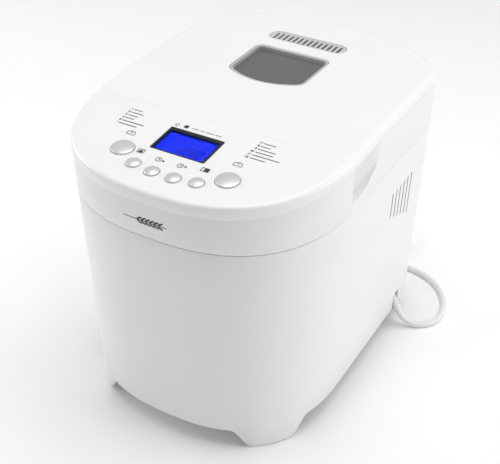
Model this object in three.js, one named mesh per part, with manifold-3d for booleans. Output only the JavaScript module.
// A compact bread machine: white casing, front control panel, hinged lid with a window,
// oven chamber, lift-out pan with its kneading paddle, belt drive and mains cord.
// Millimetres, +Z up, origin at the middle of the footprint, front towards -Y.
import * as THREE from 'three';
import { mergeVertices } from 'three/addons/utils/BufferGeometryUtils.js';
import Module from 'manifold-3d';

const wasm = await Module();
wasm.setup();

// Driving dimensions
const GAP = 0.3;
const WIDTH = 260;
const FRONT_Y = -178.2;
const REAR_Y = 172.2;
const HEIGHT = 290.7;
const WALL = 2.6;

// Plan outline: a superellipse nose, straight sides and a half-ellipse back
const NOSE_START_Y = -42.4;
const NOSE_POWER = 2.5;
const BACK_DEPTH = 56;
const NOSE_STEPS = 13;
const SIDE_STEPS = 3;
const BACK_STEPS = 9;

// Draft of the casing below the widest level
const WIDEST_Z = 250;
const DRAFT_SIDE = 6.8;
const DRAFT_FRONT = 11.4;
const DRAFT_REAR = 2.5;
const CASING_SETBACK = 0.2;
const FRONT_SETBACK = 1.2;

// Top surface and covers
const BEND_Y = -26;
const FRONT_TOP_Z = 277.7;
const COVER_HEIGHT = 12;
const SEAM_Y = -70.4;
const SEAM_BULGE = 4.4;
const EDGE_FRONT = 3.4;
const EDGE_REAR = 6;
const DECK_UNDER_Z = 272;
const JOIN_Z = 231;

// Skirt and feet
const SKIRT_Z = 22.6;
const LOBE_Z = 1.5;
const LOBE_NEAR_X = 82;
const LOBE_REAR_Y = -116;
const LOBE_FLANK = 17;
const PLATE_Z = 24;
const PLATE_THICKNESS = 3;
const FOOT_HEIGHT = 3;
const FOOT_RADIUS = 10;
const FRONT_FEET = { x: 84, y: -119 };
const REAR_FEET = { x: 78, y: 128 };

// Lid hinge
const HINGE_Y = 172.8;
const HINGE_Z = 272;
const KNUCKLE_RADIUS = 5.4;
const HINGE_PIN_RADIUS = 2;
const HINGE_X = 46.5;
const KNUCKLE_HALF = 5;
const LUG_WIDTH = 6;
const HINGE_SLACK = 0.5;

// Window and vents in the lid
const WINDOW = { x: -6, halfWidth: 40.5, rear: 89, side: 28, front: 15, radius: 9 };
const GASKET = 3;
const PANE_DROP = 4.6;
const VENT = { x: -5.5, y: 115.5, width: 84, length: 20, count: 14, pitch: 5.4, slot: 2.6, slotLength: 14 };
const STEAM_VENT = { width: 50, length: 8 };
const SIDE_VENT = { y: 39.6, pitch: 9.1, count: 6, width: 2.8, top: 197, bottomFront: 168, bottomRear: 149 };
const RECESS = { front: -62, rear: -8, low: 241, depth: 9 };
const CROSS_WALL = 3.5;

// Cord notch at the rear right of the skirt
const NOTCH = { front: 84, rear: 98, top: 43 };
const RELIEF_ROOM = { x: 90.6, front: 82, rear: 100 };

// Inside of the lid
const LINER = { width: 214, length: 206, radius: 40, thickness: 1.7, dip: 4, sheet: 2 };
const LINER_Z = HEIGHT - 11;

// Controls
const PANEL_Y = -125;
const BIG_BUTTON = { radius: 10.4, x: 51.6, y: -134.8 };
const SMALL_BUTTON_RADIUS = 6.6;
const SMALL_BUTTONS = [
  ['size_button', -30.9, -148.9],
  ['time_up_button', -10.4, -152],
  ['time_down_button', 10.4, -152],
  ['crust_button', 30.9, -148.9],
];
const BUTTON_ROOM = 0.5;
const BUTTON_RISE = 2.2;
const BUTTON_STEM = 8;
const DISPLAY = { x: -5, y: -106.5, width: 53.6, length: 34.4 };
const DISPLAY_GLASS = { width: 49, length: 29.2, shift: -1.8 };
const BEZEL_DEPTH = 2.4;
const MODULE = { width: 50, length: 31, depth: 10 };
const BOARD = { width: 122, length: 62, depth: 15, thickness: 1.6 };
const SWITCH = { half: 3, travel: 1.5 };

// Oven chamber and pan
const OVEN = { y: 42, width: 176, length: 196, radius: 26, floor: 72, sheet: 1.5 };
const PAN = { width: 134, length: 164, radius: 24, floor: 92.3, top: 238, sheet: 1.7, draft: 4, lip: 3 };
const PAN_BASE = { radius: 29, bore: 20.5, height: 9.9, crown: 1.8 };
const PAN_SEAT = { radius: 36, bore: 24, height: 8 };
const EAR = { thickness: 2.2, half: 9, below: 12, above: 8 };
const HANDLE = { x: 74, y: -48.5, z: 226, radius: 2.2 };
const ELEMENT = { x: 79, reach: 89, z: 106, radius: 3.3, tail: 14 };
const CLIP = { front: 36, rear: 48, thickness: 1.6, height: 16 };
const SENSOR = { x: -40, z: 160, radius: 2.6, reach: 12, headRadius: 5.5, headLength: 16 };
const FUSE = { x0: 22, x1: 50, z: 190, half: 8, radius: 3.6 };
const HUB = { radius: 8.5, height: 28, bore: 24.5 };
const BLADE = { reach: 48, height: 42, thickness: 3.4, turn: 0.35 };
const PAN_SHAFT = { low: 84, top: 119.5, wingLow: 83, wingHigh: 88.5, wingHalf: 3, wingReach: 14 };

// Drive
const LARGE_PULLEY_RADIUS = 44;
const SMALL_PULLEY_RADIUS = 8;
const PULLEY_Z = 38;
const PULLEY_HEIGHT = 14;
const SPINDLE_RADIUS = 5;
const SHAFT_RADIUS = 4;
const BRIDGE = { top: 57.5, sheet: 2.5, flange: 8 };
const BEARING = { flangeRadius: 24, flange: 3.2, radius: 13, top: 75 };
const BEARING_SCREW = { count: 3, circle: 18.5, radius: 1.6, headRadius: 3.4, headHeight: 2.2 };
const MOTOR = { y: -112, radius: 31, low: 60, high: 112, endRadius: 24, bore: 4.3 };
const MOTOR_CAP = { radius: 17, top: 118 };
const MOTOR_SHAFT_TOP = 88;
const BELT = { thickness: 1.9, lift: 2, width: 10 };

// Electrical parts on the base plate
const FLOOR_Z = PLATE_Z + PLATE_THICKNESS + GAP;
const POWER_BOARD = { x0: 50, x1: 98, y0: -112, y1: -58, z: 34, thickness: 1.6 };
const CAPACITOR = { x: -72, y: -92, radius: 15, low: 30, high: 78 };
const TERMINALS = { x0: 70, x1: 90, y0: 78, y1: 104, height: 12, slots: [84, 94], slotWidth: 4 };

// Mains cord
const CORD_RADIUS = 3.3;
const COIL = { x: 40, y: 226, radius: 37.5, turnsWide: 2, turnsHigh: 2 };
const PLUG = { x: -30, y: 268, length: 46, width: 50, height: 24, sleeve: 10, entryZ: 9 };
const TIE = { half: 6, thickness: 1.4 };

// Materials
function finish(color, roughness, metalness = 0) {
  return new THREE.MeshStandardMaterial({ color, roughness, metalness });
}
const whitePlastic = finish(0xf1f0ee, 0.35);
const greyPlastic = finish(0xc9c9c8, 0.4);
const blackPlastic = finish(0x191a1c, 0.3);
const silverPlastic = finish(0xd6d7d9, 0.3);
const smokedGlass = finish(0x4b4d50, 0.08);
const clearGlass = finish(0xe4ecec, 0.05);
const displayBlue = finish(0x1630e8, 0.25);
const rubber = finish(0x2b2b2c, 0.8);
const silicone = finish(0xb9b4ac, 0.7);
const steel = finish(0xb7b9bb, 0.35, 1);
const brightSteel = finish(0xd3d5d7, 0.2, 1);
const castAluminium = finish(0xa9abad, 0.5, 1);
const nonStick = finish(0x3a3a3c, 0.55);
const copperGreen = finish(0x1f6b45, 0.6);
const cordWhite = finish(0xe9e9e7, 0.5);

// Solid building with closed geometries
function asSolid(geometry) {
  const bare = geometry.clone();
  bare.deleteAttribute('normal');
  bare.deleteAttribute('uv');
  const merged = mergeVertices(bare, 1e-4);
  const vertProperties = new Float32Array(merged.attributes.position.array);
  const triVerts = new Uint32Array(merged.index.array);
  return new wasm.Manifold(new wasm.Mesh({ numProp: 3, vertProperties, triVerts }));
}

function asGeometry(solid) {
  const mesh = solid.getMesh();
  const geometry = new THREE.BufferGeometry();
  geometry.setAttribute('position', new THREE.BufferAttribute(mesh.vertProperties, 3));
  geometry.setIndex(new THREE.BufferAttribute(mesh.triVerts, 1));
  geometry.computeVertexNormals();
  return geometry;
}

function join(...geometries) {
  return asGeometry(geometries.map(asSolid).reduce((whole, piece) => whole.add(piece)));
}

function cut(geometry, ...tools) {
  return asGeometry(tools.map(asSolid).reduce((rest, tool) => rest.subtract(tool), asSolid(geometry)));
}

function common(first, second) {
  return asGeometry(asSolid(first).intersect(asSolid(second)));
}

// Simple solids placed by their limits
function block(x0, x1, y0, y1, z0, z1) {
  const geometry = new THREE.BoxGeometry(x1 - x0, y1 - y0, z1 - z0);
  return geometry.translate((x0 + x1) / 2, (y0 + y1) / 2, (z0 + z1) / 2);
}

function post(x, y, radius, z0, z1, sides = 16) {
  const geometry = new THREE.CylinderGeometry(radius, radius, z1 - z0, sides);
  return geometry.rotateX(Math.PI / 2).translate(x, y, (z0 + z1) / 2);
}

function rod(x0, x1, y, z, radius, sides = 12) {
  const geometry = new THREE.CylinderGeometry(radius, radius, x1 - x0, sides);
  return geometry.rotateZ(-Math.PI / 2).translate((x0 + x1) / 2, y, z);
}

function roundedOutline(x, y, width, length, radius) {
  const shape = new THREE.Shape();
  const dx = width / 2 - radius;
  const dy = length / 2 - radius;
  shape.absarc(x + dx, y + dy, radius, 0, Math.PI / 2);
  shape.absarc(x - dx, y + dy, radius, Math.PI / 2, Math.PI);
  shape.absarc(x - dx, y - dy, radius, Math.PI, Math.PI * 1.5);
  shape.absarc(x + dx, y - dy, radius, Math.PI * 1.5, Math.PI * 2);
  return shape;
}

// The lid window: straight at the rear and sides, bowed at the front
function windowOutline(inset) {
  const { x } = WINDOW;
  const half = WINDOW.halfWidth - inset;
  const rear = WINDOW.rear - inset;
  const side = WINDOW.side + inset;
  const front = WINDOW.front + inset;
  const radius = WINDOW.radius - inset;
  const bowHalf = half - 0.7 * radius;
  const bowY = front + (side - front) * (bowHalf / half) ** 2;
  const shape = new THREE.Shape();
  shape.moveTo(x - half, rear - radius);
  shape.lineTo(x - half, side + radius);
  shape.quadraticCurveTo(x - half, side, x - bowHalf, bowY);
  shape.quadraticCurveTo(x, 2 * front - bowY, x + bowHalf, bowY);
  shape.quadraticCurveTo(x + half, side, x + half, side + radius);
  shape.lineTo(x + half, rear - radius);
  shape.quadraticCurveTo(x + half, rear, x + half - radius, rear);
  shape.lineTo(x - half + radius, rear);
  shape.quadraticCurveTo(x - half, rear, x - half, rear - radius);
  return shape;
}

function prism(shape, z0, z1, curveSegments = 4) {
  const settings = { depth: z1 - z0, bevelEnabled: false, curveSegments };
  return new THREE.ExtrudeGeometry(shape, settings).translate(0, 0, z0);
}

function roundedBlock(x, y, width, length, radius, z0, z1, curveSegments = 4) {
  return prism(roundedOutline(x, y, width, length, radius), z0, z1, curveSegments);
}

// A solid swept in X from an outline drawn in Y and Z
function sidePrism(points, x0, x1) {
  const shape = new THREE.Shape(points.map(([y, z]) => new THREE.Vector2(y, z)));
  const geometry = new THREE.ExtrudeGeometry(shape, { depth: x1 - x0, bevelEnabled: false });
  const turn = new THREE.Matrix4().makeBasis(
    new THREE.Vector3(0, 1, 0),
    new THREE.Vector3(0, 0, 1),
    new THREE.Vector3(1, 0, 0),
  );
  return geometry.applyMatrix4(turn).translate(x0, 0, 0);
}

function sweep(points, radius, sides, steps) {
  const curve = new THREE.CatmullRomCurve3(points.map((p) => new THREE.Vector3(...p)), false, 'centripetal');
  const section = new THREE.Shape();
  for (let i = 0; i < sides; i += 1) {
    const angle = (2 * Math.PI * i) / sides;
    const corner = [radius * Math.cos(angle), radius * Math.sin(angle)];
    if (i === 0) section.moveTo(...corner);
    else section.lineTo(...corner);
  }
  section.closePath();
  return new THREE.ExtrudeGeometry(section, { steps, extrudePath: curve, bevelEnabled: false });
}

// Casing outline: one half from the nose to the back, mirrored into a ring
const HALF_POINTS = NOSE_STEPS + SIDE_STEPS + BACK_STEPS + 1;

function outlinePoint(i, halfWidth, frontY, rearY) {
  const backStart = rearY - BACK_DEPTH;
  if (i <= NOSE_STEPS) {
    const angle = (Math.PI / 2) * (1 - i / NOSE_STEPS);
    const x = halfWidth * Math.cos(angle) ** (2 / NOSE_POWER);
    const y = NOSE_START_Y - (NOSE_START_Y - frontY) * Math.sin(angle) ** (2 / NOSE_POWER);
    return [i === 0 ? 0 : x, y];
  }
  if (i <= NOSE_STEPS + SIDE_STEPS) {
    const along = (i - NOSE_STEPS) / SIDE_STEPS;
    return [halfWidth, NOSE_START_Y + (backStart - NOSE_START_Y) * along];
  }
  const angle = (Math.PI / 2) * ((i - NOSE_STEPS - SIDE_STEPS) / BACK_STEPS);
  return [i === HALF_POINTS - 1 ? 0 : halfWidth * Math.cos(angle), backStart + BACK_DEPTH * Math.sin(angle)];
}

function coverPoint(i, inset) {
  return outlinePoint(i, WIDTH / 2 - inset, FRONT_Y + inset, REAR_Y - inset);
}

function casingPoint(i, z, inset) {
  const draft = Math.max(0, 1 - z / WIDEST_Z);
  const setback = CASING_SETBACK + inset;
  return outlinePoint(
    i,
    WIDTH / 2 - setback - DRAFT_SIDE * draft,
    FRONT_Y + setback + FRONT_SETBACK + DRAFT_FRONT * draft,
    REAR_Y - setback - DRAFT_REAR * draft,
  );
}

// Rings run up the right half and back down the left half
function ring(pointAt) {
  const right = [];
  for (let i = 0; i < HALF_POINTS; i += 1) right.push(pointAt(i));
  const left = right.slice(1, -1).reverse().map(([x, y, z]) => [-x, y, z]);
  return right.concat(left);
}

function coverRing(insetAt, heightAt) {
  return ring((i) => {
    const [, y] = coverPoint(i, 0);
    return [...coverPoint(i, insetAt(y)), heightAt(y)];
  });
}

// The height along the ring is a function of the outline's own X and Y at a given level
function casingRing(inset, heightAt, level = WIDEST_Z) {
  return ring((i) => {
    const z = heightAt(...casingPoint(i, level, inset));
    return [...casingPoint(i, z, inset), z];
  });
}

function stitch(rings, closed) {
  const count = rings[0].length;
  const faces = [];
  const bands = closed ? rings.length : rings.length - 1;
  for (let band = 0; band < bands; band += 1) {
    const low = band * count;
    const high = ((band + 1) % rings.length) * count;
    for (let i = 0; i < count; i += 1) {
      const next = (i + 1) % count;
      faces.push(low + i, low + next, high + next, low + i, high + next, high + i);
    }
  }
  if (!closed) {
    faces.push(...capFaces(count, 0, true));
    faces.push(...capFaces(count, (rings.length - 1) * count, false));
  }
  const geometry = new THREE.BufferGeometry();
  geometry.setAttribute('position', new THREE.BufferAttribute(new Float32Array(rings.flat(2)), 3));
  geometry.setIndex(faces);
  return geometry;
}

// A cap of strips across X, so that it can follow a surface whose height depends on Y
function capFaces(count, start, down) {
  const faces = [];
  const left = (i) => start + ((count - i) % count);
  for (let i = 0; i < HALF_POINTS - 1; i += 1) {
    const a = start + i;
    const b = start + i + 1;
    const quads = [];
    if (i < HALF_POINTS - 2) quads.push([a, b, left(i + 1)]);
    if (i > 0) quads.push([a, i < HALF_POINTS - 2 ? left(i + 1) : b, left(i)]);
    quads.forEach(([p, q, r]) => faces.push(...(down ? [p, r, q] : [p, q, r])));
  }
  return faces;
}

// Heights of the top surface and of the parting line below it
const TOP_SLOPE = (HEIGHT - FRONT_TOP_Z) / (BEND_Y - FRONT_Y);
const TILT = Math.atan(TOP_SLOPE);

function topAt(y) {
  return y > BEND_Y ? HEIGHT : HEIGHT - (BEND_Y - y) * TOP_SLOPE;
}

function partingAt(y) {
  return topAt(y) - COVER_HEIGHT;
}

function edgeAt(y) {
  const rise = THREE.MathUtils.smoothstep(y, FRONT_Y, SEAM_Y);
  return EDGE_FRONT + (EDGE_REAR - EDGE_FRONT) * rise;
}

// The region in front of the seam, set off by a distance; the seam bows to the rear
function aheadOfSeam(offset) {
  const shape = new THREE.Shape();
  const steps = 12;
  shape.moveTo(-WIDTH, FRONT_Y - 20);
  shape.lineTo(WIDTH, FRONT_Y - 20);
  shape.lineTo(WIDTH, SEAM_Y + offset);
  for (let i = 0; i <= steps; i += 1) {
    const across = 1 - (2 * i) / steps;
    shape.lineTo((across * WIDTH) / 2, SEAM_Y + offset + SEAM_BULGE * (1 - across ** 2));
  }
  shape.lineTo(-WIDTH, SEAM_Y + offset);
  shape.closePath();
  return prism(shape, 180, HEIGHT + 20);
}

function coverBlock() {
  return stitch([
    coverRing(() => 0, partingAt),
    coverRing(() => 0, (y) => topAt(y) - edgeAt(y)),
    coverRing((y) => 0.3 * edgeAt(y), (y) => topAt(y) - 0.3 * edgeAt(y)),
    coverRing(edgeAt, topAt),
  ], false);
}

function coverHollow() {
  return stitch([
    coverRing(() => WALL, (y) => partingAt(y) - 5),
    coverRing(() => WALL, (y) => topAt(y) - WALL - 0.7 * edgeAt(y)),
    coverRing((y) => WALL + 0.7 * edgeAt(y), (y) => topAt(y) - WALL),
  ], false);
}

// Things on the sloping panel are drawn level and then tilted about the panel's own point
function onPanel(geometry, x, y) {
  return geometry.rotateX(TILT).translate(x, y, topAt(y));
}

// Casing
function footLobe(x, y) {
  if (y > NOSE_START_Y) return SKIRT_Z;
  const side = Math.abs(x);
  const out = Math.max(LOBE_NEAR_X - side, y - LOBE_REAR_Y, 0);
  const lift = THREE.MathUtils.smoothstep(out, 0, LOBE_FLANK);
  return LOBE_Z + (SKIRT_Z - LOBE_Z) * lift;
}

function sideSlots() {
  const slots = [];
  for (let i = 0; i < SIDE_VENT.count; i += 1) {
    const y = SIDE_VENT.y + i * SIDE_VENT.pitch;
    const share = i / (SIDE_VENT.count - 1);
    const bottom = SIDE_VENT.bottomFront + (SIDE_VENT.bottomRear - SIDE_VENT.bottomFront) * share;
    const half = SIDE_VENT.width / 2;
    slots.push(block(110, 140, y - half, y + half, bottom, SIDE_VENT.top));
    slots.push(block(-140, -110, y - half, y + half, bottom, SIDE_VENT.top));
  }
  return slots;
}

function bodyShell() {
  const shell = stitch([
    casingRing(0, footLobe, 0),
    casingRing(0, () => JOIN_Z - GAP),
    casingRing(WALL, () => JOIN_Z - GAP),
    casingRing(WALL, footLobe, 0),
  ], true);
  const cordNotch = block(110, 140, NOTCH.front, NOTCH.rear, 0, NOTCH.top);
  return cut(shell, cordNotch, ...sideSlots());
}

function recess(side) {
  const { front, rear, low, depth } = RECESS;
  const scoop = [[front, low + 8], [front + 8, low], [rear - 16, low + 6], [rear, low + 22]];
  const outline = [...scoop, [rear, HEIGHT], [front, HEIGHT]];
  const x0 = WIDTH / 2 - depth;
  return side > 0 ? sidePrism(outline, x0, x0 + 30) : sidePrism(outline, -x0 - 30, -x0);
}

function recessCup(side) {
  const { front, rear, low, depth } = RECESS;
  const x0 = WIDTH / 2 - depth - WALL;
  const x1 = WIDTH / 2 - 1;
  const limits = [front - WALL, rear + WALL, low - WALL, DECK_UNDER_Z + 1];
  return side > 0 ? block(x0, x1, ...limits) : block(-x1, -x0, ...limits);
}

function hingeLugs(side) {
  const inner = HINGE_X - KNUCKLE_HALF - HINGE_SLACK;
  const outer = HINGE_X + KNUCKLE_HALF + HINGE_SLACK;
  return [[inner - LUG_WIDTH, inner], [outer, outer + LUG_WIDTH]].map(([near, far]) => {
    const x0 = side > 0 ? near : -far;
    const x1 = side > 0 ? far : -near;
    const arm = block(x0, x1, 163, HINGE_Y, HINGE_Z - KNUCKLE_RADIUS, HINGE_Z + 4.6);
    return join(arm, rod(x0, x1, HINGE_Y, HINGE_Z, KNUCKLE_RADIUS, 16));
  });
}

function topFrame() {
  const outside = stitch([
    casingRing(0, () => JOIN_Z),
    casingRing(0, () => WIDEST_Z),
    casingRing(0, (x, y) => partingAt(y) - GAP),
  ], false);
  const hollow = stitch([
    casingRing(WALL, () => JOIN_Z - 10),
    casingRing(WALL, () => DECK_UNDER_Z),
  ], false);
  const pocket = common(aheadOfSeam(-CROSS_WALL), stitch([
    casingRing(WALL, () => JOIN_Z - 10),
    casingRing(WALL, () => HEIGHT + 10),
  ], false));
  const crossWall = common(
    cut(aheadOfSeam(0), aheadOfSeam(-CROSS_WALL)),
    stitch([casingRing(1, () => JOIN_Z + 20), casingRing(1, () => DECK_UNDER_Z + 1)], false),
  );
  const opening = roundedBlock(0, OVEN.y, OVEN.width, OVEN.length, OVEN.radius, 200, 300);
  const frame = join(cut(outside, hollow), recessCup(1), recessCup(-1), crossWall);
  const room = [-1, 1].map((side) => {
    const reach = KNUCKLE_HALF + HINGE_SLACK;
    return rod(side * HINGE_X - reach, side * HINGE_X + reach, HINGE_Y, HINGE_Z, KNUCKLE_RADIUS + 0.5, 16);
  });
  const deck = cut(frame, pocket, opening, recess(1), recess(-1), ...room);
  return cut(join(deck, ...hingeLugs(1), ...hingeLugs(-1)), pinHole(1), pinHole(-1));
}

function pinHole(side) {
  const reach = KNUCKLE_HALF + HINGE_SLACK + LUG_WIDTH + 1;
  return rod(side * HINGE_X - reach, side * HINGE_X + reach, HINGE_Y, HINGE_Z, HINGE_PIN_RADIUS + GAP);
}

function basePlate() {
  const plate = stitch([
    casingRing(WALL + 0.6, () => PLATE_Z),
    casingRing(WALL + 0.6, () => PLATE_Z + PLATE_THICKNESS),
  ], false);
  const bosses = [];
  for (const side of [-1, 1]) {
    for (const foot of [FRONT_FEET, REAR_FEET]) {
      bosses.push(post(side * foot.x, foot.y, FOOT_RADIUS + 3, FOOT_HEIGHT + GAP, PLATE_Z + 1));
    }
  }
  return cut(join(plate, ...bosses), block(RELIEF_ROOM.x, 140, RELIEF_ROOM.front, RELIEF_ROOM.rear, 20, 40));
}

function rubberFoot(foot, side) {
  return post(side * foot.x, foot.y, FOOT_RADIUS, 0, FOOT_HEIGHT);
}

// Control panel and what it carries
function buttonHole(radius, x, y, sides) {
  return onPanel(post(0, 0, radius + BUTTON_ROOM, -20, 20, sides), x, y);
}

function controlPanel() {
  const cover = common(coverBlock(), aheadOfSeam(-GAP / 2));
  const hollow = common(coverHollow(), aheadOfSeam(-WALL));
  const holes = SMALL_BUTTONS.map(([, x, y]) => buttonHole(SMALL_BUTTON_RADIUS, x, y, 20));
  holes.push(buttonHole(BIG_BUTTON.radius, -BIG_BUTTON.x, BIG_BUTTON.y, 24));
  holes.push(buttonHole(BIG_BUTTON.radius, BIG_BUTTON.x, BIG_BUTTON.y, 24));
  const halfWidth = DISPLAY.width / 2 + GAP;
  const halfLength = DISPLAY.length / 2 + GAP;
  holes.push(onPanel(block(-halfWidth, halfWidth, -halfLength, halfLength, -20, 20), DISPLAY.x, DISPLAY.y));
  return cut(cover, hollow, ...holes);
}

function button(radius, x, y) {
  const edge = radius * 0.72;
  const stem = radius * 0.35;
  const under = -WALL - 2;
  const profile = [[0, -BUTTON_STEM], [stem, -BUTTON_STEM], [stem, under], [radius, under],
    [radius, BUTTON_RISE * 0.45], [edge, BUTTON_RISE * 0.86], [0, BUTTON_RISE]];
  const cap = new THREE.LatheGeometry(profile.map(([r, z]) => new THREE.Vector2(r, z)), 16);
  return onPanel(cap.rotateX(Math.PI / 2), x, y);
}

function displayBezel() {
  const { x, y, width, length } = DISPLAY;
  const frame = block(-width / 2, width / 2, -length / 2, length / 2, -BEZEL_DEPTH, 0.4);
  return onPanel(cut(frame, glassBlock(0, -5, 5)), x, y);
}

function glassBlock(inset, z0, z1) {
  const halfWidth = DISPLAY_GLASS.width / 2 - inset;
  const halfLength = DISPLAY_GLASS.length / 2 - inset;
  return block(-halfWidth, halfWidth, -halfLength, halfLength, z0, z1).translate(0, DISPLAY_GLASS.shift, 0);
}

function displayGlass() {
  return onPanel(glassBlock(GAP, -1.6, 0), DISPLAY.x, DISPLAY.y);
}

function displayModule() {
  const { width, length, depth } = MODULE;
  const module = block(-width / 2, width / 2, -length / 2, length / 2, -depth, -BEZEL_DEPTH - GAP);
  return onPanel(module.translate(0, DISPLAY_GLASS.shift, 0), DISPLAY.x, DISPLAY.y);
}

function controlBoard() {
  const { width, length, depth, thickness } = BOARD;
  const switchTop = -BUTTON_STEM - SWITCH.travel - GAP;
  const board = block(-width / 2, width / 2, -length / 2, length / 2, -depth, -depth + thickness);
  const places = SMALL_BUTTONS.map(([, x, y]) => [x, y]);
  places.push([-BIG_BUTTON.x, BIG_BUTTON.y], [BIG_BUTTON.x, BIG_BUTTON.y]);
  const { half } = SWITCH;
  const switches = places.map(([x, y]) => {
    return onPanel(block(-half, half, -half, half, -depth + 1, switchTop), x, y);
  });
  return join(onPanel(board, 0, PANEL_Y), ...switches);
}

// Lid
function lidShell() {
  const cover = cut(coverBlock(), aheadOfSeam(GAP / 2));
  const hollow = cut(coverHollow(), aheadOfSeam(WALL));
  const pane = prism(windowOutline(0), DECK_UNDER_Z, HEIGHT + 10, 8);
  const { x, y, width, length } = VENT;
  const room = 2 * GAP;
  const grille = roundedBlock(x, y, width + room, length + room, length / 2, DECK_UNDER_Z, HEIGHT + 10);
  const top = cut(cover, hollow, pane, grille);
  return cut(join(top, lidKnuckle(1), lidKnuckle(-1)), pinHole(1), pinHole(-1));
}

function lidKnuckle(side) {
  const x0 = side * HINGE_X - KNUCKLE_HALF;
  const x1 = side * HINGE_X + KNUCKLE_HALF;
  const front = HINGE_Y - 2.6;
  const rear = HINGE_Y + KNUCKLE_RADIUS;
  const arm = block(x0, x1, front, rear, HINGE_Z, HINGE_Z + 10);
  const root = block(x0, x1, front - 3.7, rear, HINGE_Z + 7.2, HINGE_Z + 12);
  const barrel = rod(x0, x1, HINGE_Y, HINGE_Z, KNUCKLE_RADIUS, 16);
  const eye = common(barrel, block(x0, x1, front, rear + 10, HINGE_Z - 12, HINGE_Z + 8));
  return join(arm, root, eye);
}

function ventGrille() {
  const { x, y, width, length, count, pitch, slot, slotLength } = VENT;
  const plate = roundedBlock(x, y, width, length, length / 2 - GAP, HEIGHT - 3, HEIGHT - 0.8);
  const slots = [];
  for (let i = 0; i < count; i += 1) {
    const middle = x + (i - (count - 1) / 2) * pitch;
    const limits = [middle - slot / 2, middle + slot / 2, y - slotLength / 2, y + slotLength / 2];
    slots.push(block(...limits, DECK_UNDER_Z, HEIGHT + 10));
  }
  return cut(plate, ...slots);
}

function windowGasket() {
  const outer = prism(windowOutline(GAP), HEIGHT - 8, HEIGHT - 0.6, 8);
  return cut(outer, prism(windowOutline(GASKET), DECK_UNDER_Z, HEIGHT + 10, 8));
}

function windowPane() {
  return prism(windowOutline(GASKET + GAP), HEIGHT - 7.6, HEIGHT - PANE_DROP, 8);
}

function lidLiner() {
  const top = LINER_Z + LINER.thickness;
  const plate = roundedBlock(0, OVEN.y + 4, LINER.width, LINER.length, LINER.radius, LINER_Z, top);
  const { y, width, length, radius } = OVEN;
  const wall = (inset, z0, z1) => {
    return roundedBlock(0, y, width - 2 * inset, length - 2 * inset, radius - inset, z0, z1);
  };
  const dip = wall(LINER.dip, DECK_UNDER_Z - 1, LINER_Z + 1);
  const hollow = wall(LINER.dip + LINER.sheet, DECK_UNDER_Z - 2, LINER_Z);
  const view = prism(windowOutline(GASKET - 0.5), 260, 300, 8);
  const steam = roundedBlock(VENT.x, VENT.y, STEAM_VENT.width, STEAM_VENT.length, 3.9, 260, 300);
  return cut(join(plate, dip), hollow, view, steam);
}

function innerPane() {
  return prism(windowOutline(GASKET - 0.5 + GAP), LINER_Z, LINER_Z + 2, 8);
}

function hingePin(side) {
  const half = KNUCKLE_HALF + HINGE_SLACK + LUG_WIDTH;
  return rod(side * HINGE_X - half, side * HINGE_X + half, HINGE_Y, HINGE_Z, HINGE_PIN_RADIUS);
}

// Oven
function ovenChamber() {
  const { y, width, length, radius, floor, sheet } = OVEN;
  const top = DECK_UNDER_Z - GAP;
  const outside = roundedBlock(0, y, width + 2 * sheet, length + 2 * sheet, radius + sheet, floor, top);
  const inside = roundedBlock(0, y, width, length, radius, floor + sheet, 300);
  const spindleHole = post(0, y, 14, floor - 5, floor + 5);
  const wallY = y - length / 2;
  const elementHoles = [-1, 1].map((side) => block(side * ELEMENT.tail - 5.5, side * ELEMENT.tail + 5.5,
    wallY - 5, wallY + 5, ELEMENT.z - 4, ELEMENT.z + 4));
  const { x, z } = SENSOR;
  const sensorHole = block(x - 4, x + 4, wallY - 5, wallY + 5, z - 4, z + 4);
  return cut(outside, inside, spindleHole, ...elementHoles, sensorHole);
}

function heatingElement() {
  const { x, reach, z, radius, tail } = ELEMENT;
  const front = OVEN.y - reach;
  const rear = OVEN.y + reach;
  const route = [[tail, front - 20, z], [tail, front - 9, z], [tail + 6, front, z], [tail + 22, front, z],
    [x - 20, front, z], [x - 4, front + 6, z], [x, front + 22, z], [x, rear - 22, z], [x - 6, rear - 6, z],
    [x - 22, rear, z]];
  const mirrored = route.slice().reverse().map(([px, py, pz]) => [-px, py, pz]);
  return sweep(route.concat(mirrored), radius, 8, 36);
}

function elementClip(side) {
  const wallX = OVEN.width / 2 - GAP;
  const near = ELEMENT.x - ELEMENT.radius - 2;
  const z0 = ELEMENT.z - ELEMENT.radius - 2.2;
  const z1 = ELEMENT.z - ELEMENT.radius - GAP;
  const piece = (inner, top) => {
    const [x0, x1] = side > 0 ? [inner, wallX] : [-wallX, -inner];
    return block(x0, x1, CLIP.front, CLIP.rear, z0, top);
  };
  return join(piece(near, z1), piece(wallX - CLIP.thickness, z1 + CLIP.height));
}

function temperatureSensor() {
  const wallY = OVEN.y - OVEN.length / 2;
  const under = -OVEN.sheet - GAP;
  const probe = post(0, 0, SENSOR.radius, under - 1, SENSOR.reach, 12);
  const head = post(0, 0, SENSOR.headRadius, under - SENSOR.headLength, under, 12);
  return join(probe, head).rotateX(-Math.PI / 2).translate(SENSOR.x, wallY, SENSOR.z);
}

function thermalFuse() {
  const wallY = OVEN.y - OVEN.length / 2 - OVEN.sheet - GAP;
  const { x0, x1, z, half, radius } = FUSE;
  const strap = block(x0, x1, wallY - 2, wallY, z - half, z + half);
  return join(strap, rod(x0 + 2, x1 - 2, wallY - 4, z, radius));
}

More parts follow.
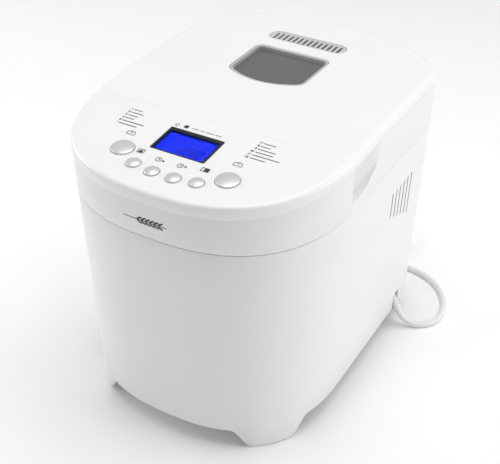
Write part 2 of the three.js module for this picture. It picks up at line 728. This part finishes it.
// Pan, handle and paddle
function panBlock(grow, z0, z1) {
  const { width, length, radius, draft, floor, top } = PAN;
  const shape = roundedOutline(0, 0, width + 2 * grow, length + 2 * grow, radius + grow);
  const geometry = new THREE.ExtrudeGeometry(shape, { depth: 1, bevelEnabled: false, curveSegments: 5 });
  const position = geometry.attributes.position;
  for (let i = 0; i < position.count; i += 1) {
    const z = position.getZ(i) < 0.5 ? z0 : z1;
    const share = 1 - (draft / (width / 2)) * (1 - (z - floor) / (top - floor));
    position.setXYZ(i, position.getX(i) * share, position.getY(i) * share + OVEN.y, z);
  }
  return geometry;
}

function breadPan() {
  const body = panBlock(0, PAN.floor, PAN.top);
  const lip = panBlock(PAN.lip, PAN.top - 2, PAN.top);
  const inside = panBlock(-PAN.sheet, PAN.floor + PAN.sheet, PAN.top + 10);
  const shaftHole = post(0, OVEN.y, SHAFT_RADIUS + 1.4, PAN.floor - 5, PAN.floor + 8);
  return cut(join(body, lip), inside, shaftHole);
}

function panBase() {
  const top = PAN.floor - GAP;
  const skirt = post(0, OVEN.y, PAN_BASE.radius, top - PAN_BASE.height, top, 24);
  const hollow = post(0, OVEN.y, PAN_BASE.bore, top - 20, top - PAN_BASE.crown, 24);
  return cut(skirt, hollow, post(0, OVEN.y, SHAFT_RADIUS + 0.6, top - 20, top + 5));
}

function panSeat() {
  const z0 = OVEN.floor + OVEN.sheet + GAP;
  const outside = post(0, OVEN.y, PAN_SEAT.radius, z0, z0 + PAN_SEAT.height, 24);
  return cut(outside, post(0, OVEN.y, PAN_SEAT.bore, z0 - 5, z0 + 20, 24));
}

function panEar(side) {
  const near = PAN.width / 2 + GAP;
  const far = near + EAR.thickness;
  const [x0, x1] = side > 0 ? [near, far] : [-far, -near];
  const limits = [OVEN.y - EAR.half, OVEN.y + EAR.half, HANDLE.z - EAR.below, HANDLE.z + EAR.above];
  const plate = block(x0, x1, ...limits);
  return cut(plate, rod(-100, 100, OVEN.y, HANDLE.z, HANDLE.radius + 1, 16));
}

function panHandle() {
  const { x, y, z, radius } = HANDLE;
  const end = PAN.width / 2 + GAP + 0.4;
  const route = [[end, OVEN.y, z], [end + 3, OVEN.y, z], [x - 1.3, OVEN.y - 0.8, z], [x, OVEN.y - 4, z],
    [x, OVEN.y - 30, z], [x, y + 26, z], [x - 5, y + 8, z], [x - 20, y, z]];
  const mirrored = route.slice().reverse().map(([px, py, pz]) => [-px, py, pz]);
  return sweep(route.concat(mirrored), radius, 8, 40);
}

function panShaft() {
  const { low, top, wingLow, wingHigh, wingHalf, wingReach } = PAN_SHAFT;
  const wing = block(-wingHalf, wingHalf, OVEN.y - wingReach, OVEN.y + wingReach, wingLow, wingHigh);
  return join(post(0, OVEN.y, SHAFT_RADIUS, low, top, 16), wing);
}

function kneadingPaddle() {
  const z0 = PAN.floor + PAN.sheet + 1.5;
  const { reach, height, thickness, turn } = BLADE;
  const hub = post(0, OVEN.y, HUB.radius, z0, z0 + HUB.height, 16);
  const root = HUB.height - 2;
  const blade = new THREE.Shape();
  blade.moveTo(0, 0);
  blade.lineTo(reach - 2, 0);
  blade.lineTo(reach, 8);
  blade.quadraticCurveTo(reach - 2, root, reach - 14, height - 4);
  blade.quadraticCurveTo(reach - 20, height, reach / 2, height - 8);
  blade.quadraticCurveTo(reach / 3, root, 0, root);
  blade.closePath();
  const fin = new THREE.ExtrudeGeometry(blade, { depth: thickness, bevelEnabled: false, curveSegments: 5 });
  fin.rotateX(Math.PI / 2).rotateZ(turn).translate(0, OVEN.y + thickness / 2, z0);
  return cut(join(hub, fin), post(0, OVEN.y, SHAFT_RADIUS + GAP, z0 - 2, z0 + HUB.bore, 16));
}

// Drive train under the oven
function driveSpindle() {
  const fingers = [-1, 1].map((side) => block(side * 11 - 3, side * 11 + 3, OVEN.y - 3, OVEN.y + 3, 79, 88));
  const bar = block(-14, 14, OVEN.y - 3, OVEN.y + 3, 76, 81);
  return join(post(0, OVEN.y, SPINDLE_RADIUS, 34, 77), bar, ...fingers);
}

function largePulley() {
  const disc = post(0, OVEN.y, LARGE_PULLEY_RADIUS, PULLEY_Z, PULLEY_Z + PULLEY_HEIGHT, 32);
  const web = cut(post(0, OVEN.y, 37, PULLEY_Z + 5, PULLEY_Z + 20, 24), post(0, OVEN.y, 12, 0, 100));
  return cut(disc, web, post(0, OVEN.y, SPINDLE_RADIUS + GAP, 0, 100));
}

function screwPlace(i) {
  const angle = Math.PI / 2 + (2 * Math.PI * i) / BEARING_SCREW.count;
  return [BEARING_SCREW.circle * Math.cos(angle), OVEN.y + BEARING_SCREW.circle * Math.sin(angle)];
}

function screwHoles() {
  const radius = BEARING_SCREW.radius + GAP;
  return Array.from({ length: BEARING_SCREW.count }, (_, i) => post(...screwPlace(i), radius, 40, 64, 8));
}

function spindleBearing() {
  const seat = BRIDGE.top + GAP;
  const flange = post(0, OVEN.y, BEARING.flangeRadius, seat, seat + BEARING.flange, 24);
  const barrel = post(0, OVEN.y, BEARING.radius, seat, BEARING.top, 20);
  return cut(join(flange, barrel), post(0, OVEN.y, SPINDLE_RADIUS + GAP, 0, 100), ...screwHoles());
}

function bearingScrew(i) {
  const { radius, headRadius, headHeight } = BEARING_SCREW;
  const under = BRIDGE.top + BEARING.flange + 2 * GAP;
  const shank = post(...screwPlace(i), radius, BRIDGE.top - 4.5, under + 1, 8);
  return join(shank, post(...screwPlace(i), headRadius, under, under + headHeight, 12));
}

// A sheet-metal bridge standing on the base plate on two flanged legs
function bridge(y0, y1, halfWidth, ...holes) {
  const under = BRIDGE.top - BRIDGE.sheet;
  const top = block(-halfWidth, halfWidth, y0, y1, under, BRIDGE.top);
  const legs = [-1, 1].map((side) => {
    const x = side * (halfWidth - 1);
    const foot = block(x - BRIDGE.flange, x + BRIDGE.flange, y0, y1, FLOOR_Z, FLOOR_Z + 2);
    return join(block(x - 1, x + 1, y0, y1, FLOOR_Z + 1, under + 1), foot);
  });
  return cut(join(top, ...legs), ...holes);
}

function driveBridge() {
  return bridge(-8, 92, 60, post(0, OVEN.y, SPINDLE_RADIUS + 1, 40, 70), ...screwHoles());
}

function motorBridge() {
  return bridge(-148, -76, 42, post(0, MOTOR.y, SHAFT_RADIUS + 2, 40, 70));
}

function motor() {
  const { y, radius, low, high, endRadius, bore } = MOTOR;
  const can = post(0, y, radius, low, high, 24);
  const endShield = post(0, y, endRadius, BRIDGE.top + GAP, low + 0.5, 24);
  const cap = post(0, y, MOTOR_CAP.radius, high - 1, MOTOR_CAP.top, 20);
  return cut(join(can, endShield, cap), post(0, y, bore, low - 10, MOTOR_SHAFT_TOP + 2, 12));
}

function motorPulley() {
  const wheel = post(0, MOTOR.y, SMALL_PULLEY_RADIUS, PULLEY_Z, PULLEY_Z + PULLEY_HEIGHT, 16);
  return join(wheel, post(0, MOTOR.y, SHAFT_RADIUS, PULLEY_Z - 3, MOTOR_SHAFT_TOP, 12));
}

// The loop that a taut belt makes round the two pulleys, at a distance from their rims
function beltOutline(offset) {
  const span = OVEN.y - MOTOR.y;
  const lean = Math.asin((LARGE_PULLEY_RADIUS - SMALL_PULLEY_RADIUS) / span);
  const shape = new THREE.Shape();
  shape.absarc(0, OVEN.y, LARGE_PULLEY_RADIUS + offset, -lean, Math.PI + lean);
  shape.absarc(0, MOTOR.y, SMALL_PULLEY_RADIUS + offset, Math.PI + lean, 2 * Math.PI - lean);
  shape.closePath();
  return shape;
}

function driveBelt() {
  const inside = GAP + 0.2;
  const low = PULLEY_Z + BELT.lift;
  const band = prism(beltOutline(inside + BELT.thickness), low, low + BELT.width, 16);
  return cut(band, prism(beltOutline(inside), 0, 100, 16));
}

function powerBoard() {
  const { x0, x1, y0, y1, z, thickness } = POWER_BOARD;
  const board = block(x0, x1, y0, y1, z, z + thickness);
  const transformer = block(x0 + 6, x0 + 32, y0 + 8, y0 + 30, z + 1, z + 24);
  const relay = block(x0 + 10, x0 + 26, y1 - 18, y1 - 6, z + 1, z + 16);
  const corners = [[x0 + 4, y0 + 4], [x1 - 4, y0 + 4], [x0 + 4, y1 - 4], [x1 - 4, y1 - 4]];
  const legs = corners.map(([x, y]) => post(x, y, 2.5, FLOOR_Z, z + 1, 8));
  return join(board, transformer, relay, ...legs);
}

function capacitor() {
  const { x, y, radius, low, high } = CAPACITOR;
  const bracket = block(x - radius - 3, x + radius + 3, y - 6, y + 6, FLOOR_Z, low + 1);
  return join(post(x, y, radius, low, high, 20), bracket);
}

function terminalBlock() {
  const { x0, x1, y0, y1, height, slots, slotWidth } = TERMINALS;
  const cuts = slots.map((y) => block(x0 - 2, x1 - 4, y, y + slotWidth, FLOOR_Z + height - 5, 60));
  return cut(block(x0, x1, y0, y1, FLOOR_Z, FLOOR_Z + height), ...cuts);
}

// Mains cord: route on the surface, coil, tie and plug
const RELIEF_START = [108, 92, 51];
const RELIEF_END = [128.5, 90.2, 20.5];
const CORD_ROUTE = [
  [128.7, 90.2, 20.2],
  [130.3, 90, 17.8],
  [134.2, 90.2, 12.9],
  [138.8, 91.3, 8.9],
  [143.8, 93.2, 5.8],
  [149.1, 96, 3.9],
  [154.3, 99.3, 3.4],
  [160.5, 105.4, 3.4],
  [164.4, 113.1, 3.4],
  [165.8, 121.7, 3.4],
  [164.6, 134.5, 3.4],
  [160.8, 146.7, 3.4],
  [154.8, 158, 3.4],
  [146.7, 167.9, 3.4],
  [136.8, 176, 3.4],
  [125.5, 182, 3.4],
  [113.3, 185.7, 3.4],
  [100.5, 187, 3.4],
  [89.6, 187, 3.4],
  [78.7, 187, 3.4],
  [67.8, 187, 3.4],
];

function strainRelief() {
  const start = new THREE.Vector3(...RELIEF_START);
  const end = new THREE.Vector3(...RELIEF_END);
  const length = start.distanceTo(end);
  const profile = [[0, 0], [7, 0], [7, 5], [5.6, 5], [4.4, length], [0, length]];
  const sleeve = new THREE.LatheGeometry(profile.map(([r, z]) => new THREE.Vector2(r, z)), 14);
  const turn = new THREE.Quaternion().setFromUnitVectors(
    new THREE.Vector3(0, 1, 0),
    end.clone().sub(start).normalize(),
  );
  return sleeve.applyQuaternion(turn).translate(start.x, start.y, start.z);
}

function powerCord() {
  return sweep(CORD_ROUTE, CORD_RADIUS, 8, 34);
}

function cordCoil() {
  const half = CORD_RADIUS * COIL.turnsWide;
  const top = 2 * CORD_RADIUS * COIL.turnsHigh;
  const profile = [[-half, 0], [half, 0], [half, top], [-half, top], [-half, 0]];
  const points = profile.map(([r, z]) => new THREE.Vector2(COIL.radius + r, z));
  return new THREE.LatheGeometry(points, 28).rotateX(Math.PI / 2).translate(COIL.x, COIL.y, 0);
}

function coilRegion(innerRadius, outerRadius, z0, z1) {
  const outside = post(COIL.x, COIL.y, outerRadius, z0, z1, 56);
  return cut(outside, post(COIL.x, COIL.y, innerRadius, z0 - 1, z1 + 1, 56));
}

// A strap over the turns, with both ends tucked down to the surface
function cordTie() {
  const reach = CORD_RADIUS * COIL.turnsWide + GAP;
  const top = 2 * CORD_RADIUS * COIL.turnsHigh + GAP;
  const x = COIL.x + COIL.radius;
  const outer = reach + TIE.thickness;
  const band = block(x - outer, x + outer, COIL.y - TIE.half, COIL.y + TIE.half, 0, top + TIE.thickness);
  return cut(band, coilRegion(COIL.radius - reach, COIL.radius + reach, -1, top));
}

function cordTail() {
  const y = COIL.y + COIL.radius + CORD_RADIUS * (COIL.turnsWide + 1) + GAP;
  const start = COIL.x + 2;
  const end = PLUG.x + PLUG.length / 2 + PLUG.sleeve + GAP;
  const low = CORD_RADIUS + 0.15;
  const middle = [(start + end) / 2, (y + PLUG.y) / 2 + 0.4, 5.6];
  const entry = [[end + 8, PLUG.y + 0.7, PLUG.entryZ - 0.4], [end, PLUG.y, PLUG.entryZ]];
  const route = [[start, y, low], [start - 9, y - 0.3, low], middle, ...entry];
  return sweep(route, CORD_RADIUS, 8, 10);
}

function plug() {
  const { x, y, length, width, height, sleeve, entryZ } = PLUG;
  const right = x + length / 2;
  const body = roundedBlock(x, y, length, width, 9, 0, height);
  const collar = rod(right - 1, right + sleeve, y, entryZ, 4.8);
  const live = block(x + 4, x + 10.3, y + 9.1, y + 13.1, height - 0.5, height + 17.7);
  const neutral = block(x + 4, x + 10.3, y - 13.1, y - 9.1, height - 0.5, height + 17.7);
  const earth = block(x - 19.2, x - 11.2, y - 2, y + 2, height - 0.5, height + 22.7);
  return join(body, collar, live, neutral, earth);
}

// Everything in its place
function buildBreadMachine() {
  const machine = new THREE.Group();
  const add = (name, geometry, material) => {
    const mesh = new THREE.Mesh(geometry, material);
    mesh.name = name;
    machine.add(mesh);
  };
  const sides = [['left', -1], ['right', 1]];

  add('body_shell', bodyShell(), whitePlastic);
  add('top_frame', topFrame(), whitePlastic);
  add('base_plate', basePlate(), greyPlastic);
  sides.forEach(([name, side]) => {
    add(`front_${name}_foot`, rubberFoot(FRONT_FEET, side), rubber);
    add(`rear_${name}_foot`, rubberFoot(REAR_FEET, side), rubber);
    add(`hinge_pin_${name}`, hingePin(side), steel);
    add(`element_clip_${name}`, elementClip(side), steel);
    add(`pan_ear_${name}`, panEar(side), brightSteel);
  });

  add('control_panel', controlPanel(), whitePlastic);
  add('program_button', button(BIG_BUTTON.radius, -BIG_BUTTON.x, BIG_BUTTON.y), silverPlastic);
  SMALL_BUTTONS.forEach(([name, x, y]) => add(name, button(SMALL_BUTTON_RADIUS, x, y), silverPlastic));
  add('start_stop_button', button(BIG_BUTTON.radius, BIG_BUTTON.x, BIG_BUTTON.y), silverPlastic);
  add('display_bezel', displayBezel(), blackPlastic);
  add('display_glass', displayGlass(), clearGlass);
  add('display_module', displayModule(), displayBlue);
  add('control_board', controlBoard(), copperGreen);

  add('lid_shell', lidShell(), whitePlastic);
  add('vent_grille', ventGrille(), whitePlastic);
  add('window_gasket', windowGasket(), silicone);
  add('window_pane', windowPane(), smokedGlass);
  add('lid_liner', lidLiner(), castAluminium);
  add('inner_pane', innerPane(), clearGlass);

  add('oven_chamber', ovenChamber(), steel);
  add('heating_element', heatingElement(), steel);
  add('temperature_sensor', temperatureSensor(), brightSteel);
  add('thermal_fuse', thermalFuse(), brightSteel);
  add('bread_pan', breadPan(), nonStick);
  add('pan_base', panBase(), castAluminium);
  add('pan_seat', panSeat(), castAluminium);
  add('pan_handle', panHandle(), brightSteel);
  add('pan_shaft', panShaft(), brightSteel);
  add('kneading_paddle', kneadingPaddle(), nonStick);

  add('drive_spindle', driveSpindle(), steel);
  add('large_pulley', largePulley(), greyPlastic);
  add('spindle_bearing', spindleBearing(), castAluminium);
  for (let i = 0; i < BEARING_SCREW.count; i += 1) {
    add(`bearing_screw_${i + 1}`, bearingScrew(i), brightSteel);
  }
  add('drive_bridge', driveBridge(), steel);
  add('motor_bridge', motorBridge(), steel);
  add('motor', motor(), steel);
  add('motor_pulley', motorPulley(), steel);
  add('drive_belt', driveBelt(), rubber);
  add('power_board', powerBoard(), copperGreen);
  add('capacitor', capacitor(), castAluminium);
  add('terminal_block', terminalBlock(), greyPlastic);

  add('strain_relief', strainRelief(), cordWhite);
  add('power_cord', powerCord(), cordWhite);
  add('cord_coil', cordCoil(), cordWhite);
  add('cord_tie', cordTie(), blackPlastic);
  add('cord_tail', cordTail(), cordWhite);
  add('plug', plug(), cordWhite);
  return machine;
}

export default buildBreadMachine();
